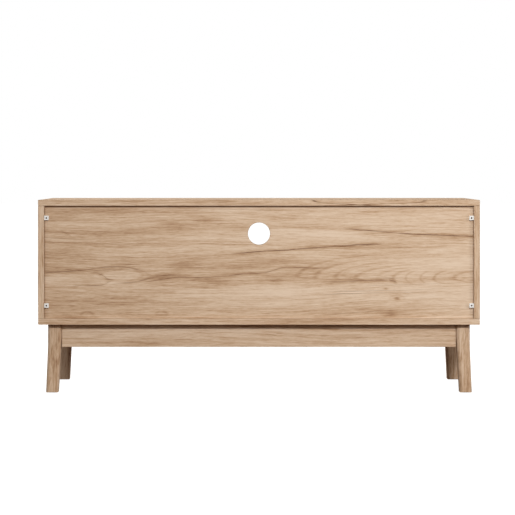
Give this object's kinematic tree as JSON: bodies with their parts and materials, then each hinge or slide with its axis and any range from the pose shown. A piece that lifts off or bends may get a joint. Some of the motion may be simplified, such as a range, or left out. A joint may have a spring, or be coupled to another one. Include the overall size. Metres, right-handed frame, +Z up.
{
  "type": "media cabinet",
  "caption": "Low oak-laminate media cabinet on splayed legs, with hinged doors, a drawer, an open niche and a cable hole in its back panel.",
  "frame": {"origin": "on the floor, under the centre of the cabinet's whole extent, knobs included", "axes": "+X towards the right end as seen from the front, +Y to the back panel, +Z up; the doors face -Y"},
  "size_m": [1.2, 0.422, 0.525],
  "materials": {
    "carcass_oak": "light rustic-oak laminate, satin, horizontal or vertical grain",
    "back_panel_oak": "light rustic-oak print on thin hardboard, satin, horizontal grain",
    "front_oak": "light rustic-oak laminate, satin, horizontal grain",
    "base_oak": "light rustic-oak wrap, satin",
    "knob_oak": "turned oak, clear lacquer",
    "drawer_board": "pale melamine board, matt",
    "beech_block": "raw beech, matt",
    "white_plastic": "moulded white plastic",
    "nickel_steel": "nickel-plated pressed steel",
    "zinc_steel": "bright zinc-plated steel"
  },
  "bodies": {
    "carcass": {"top_panel": "carcass_oak", "bottom_panel": "carcass_oak", "side_panel_left": "carcass_oak", "side_panel_right": "carcass_oak", "divider_left": "carcass_oak", "divider_right": "carcass_oak", "niche_shelf": "carcass_oak", "shelf_left": "carcass_oak", "shelf_right": "carcass_oak", "back_panel": "back_panel_oak", "apron_front": "base_oak", "apron_back": "base_oak", "apron_left": "base_oak", "apron_right": "base_oak", "leg_front_left": "base_oak", "leg_front_right": "base_oak", "leg_back_left": "base_oak", "leg_back_right": "base_oak", "corner_block_front_left": "beech_block", "corner_block_front_right": "beech_block", "corner_block_back_left": "beech_block", "corner_block_back_right": "beech_block", "back_clip_left_upper": "white_plastic", "back_clip_left_lower": "white_plastic", "back_clip_right_upper": "white_plastic", "back_clip_right_lower": "white_plastic", "shelf_pin_left_outer_front": "zinc_steel", "shelf_pin_left_outer_back": "zinc_steel", "shelf_pin_left_inner_front": "zinc_steel", "shelf_pin_left_inner_back": "zinc_steel", "shelf_pin_right_outer_front": "zinc_steel", "shelf_pin_right_outer_back": "zinc_steel", "shelf_pin_right_inner_front": "zinc_steel", "shelf_pin_right_inner_back": "zinc_steel", "hinge_arm_left_lower": "nickel_steel", "hinge_arm_left_upper": "nickel_steel", "hinge_arm_right_lower": "nickel_steel", "hinge_arm_right_upper": "nickel_steel", "slide_outer_left": "zinc_steel", "slide_outer_right": "zinc_steel"},
    "door_left": {"door_left": "front_oak", "hinge_cup_left_lower": "nickel_steel", "hinge_cup_left_upper": "nickel_steel", "knob_door_left": "knob_oak"},
    "door_right": {"door_right": "front_oak", "hinge_cup_right_lower": "nickel_steel", "hinge_cup_right_upper": "nickel_steel", "knob_door_right": "knob_oak"},
    "drawer": {"drawer_front": "front_oak", "drawer_side_left": "drawer_board", "drawer_side_right": "drawer_board", "drawer_back": "drawer_board", "drawer_bottom": "drawer_board", "slide_inner_left": "zinc_steel", "slide_inner_right": "zinc_steel", "knob_drawer": "knob_oak"},
    "slide_middles": {"slide_middle_left": "zinc_steel", "slide_middle_right": "zinc_steel"}
  },
  "joints": [
    {"name": "door_left_hinge", "type": "hinge", "parent": "carcass", "child": "door_left", "pos_m": [-0.593, -0.1815, 0.3555], "axis": [0, 0, -1], "range_deg": [0, 95]},
    {"name": "door_right_hinge", "type": "hinge", "parent": "carcass", "child": "door_right", "pos_m": [0.593, -0.1815, 0.3555], "axis": [0, 0, 1], "range_deg": [0, 95]},
    {"name": "drawer_slide", "type": "slide", "parent": "carcass", "child": "drawer", "axis": [0, -1, 0], "range_m": [0, 0.25]},
    {"name": "slide_middles_slide", "type": "slide", "parent": "carcass", "child": "slide_middles", "axis": [0, -1, 0], "range_m": [0, 0.125]}
  ],
  "couplings": [
    {"joint": "slide_middles_slide", "follows": "drawer_slide", "ratio": 0.5}
  ]
}
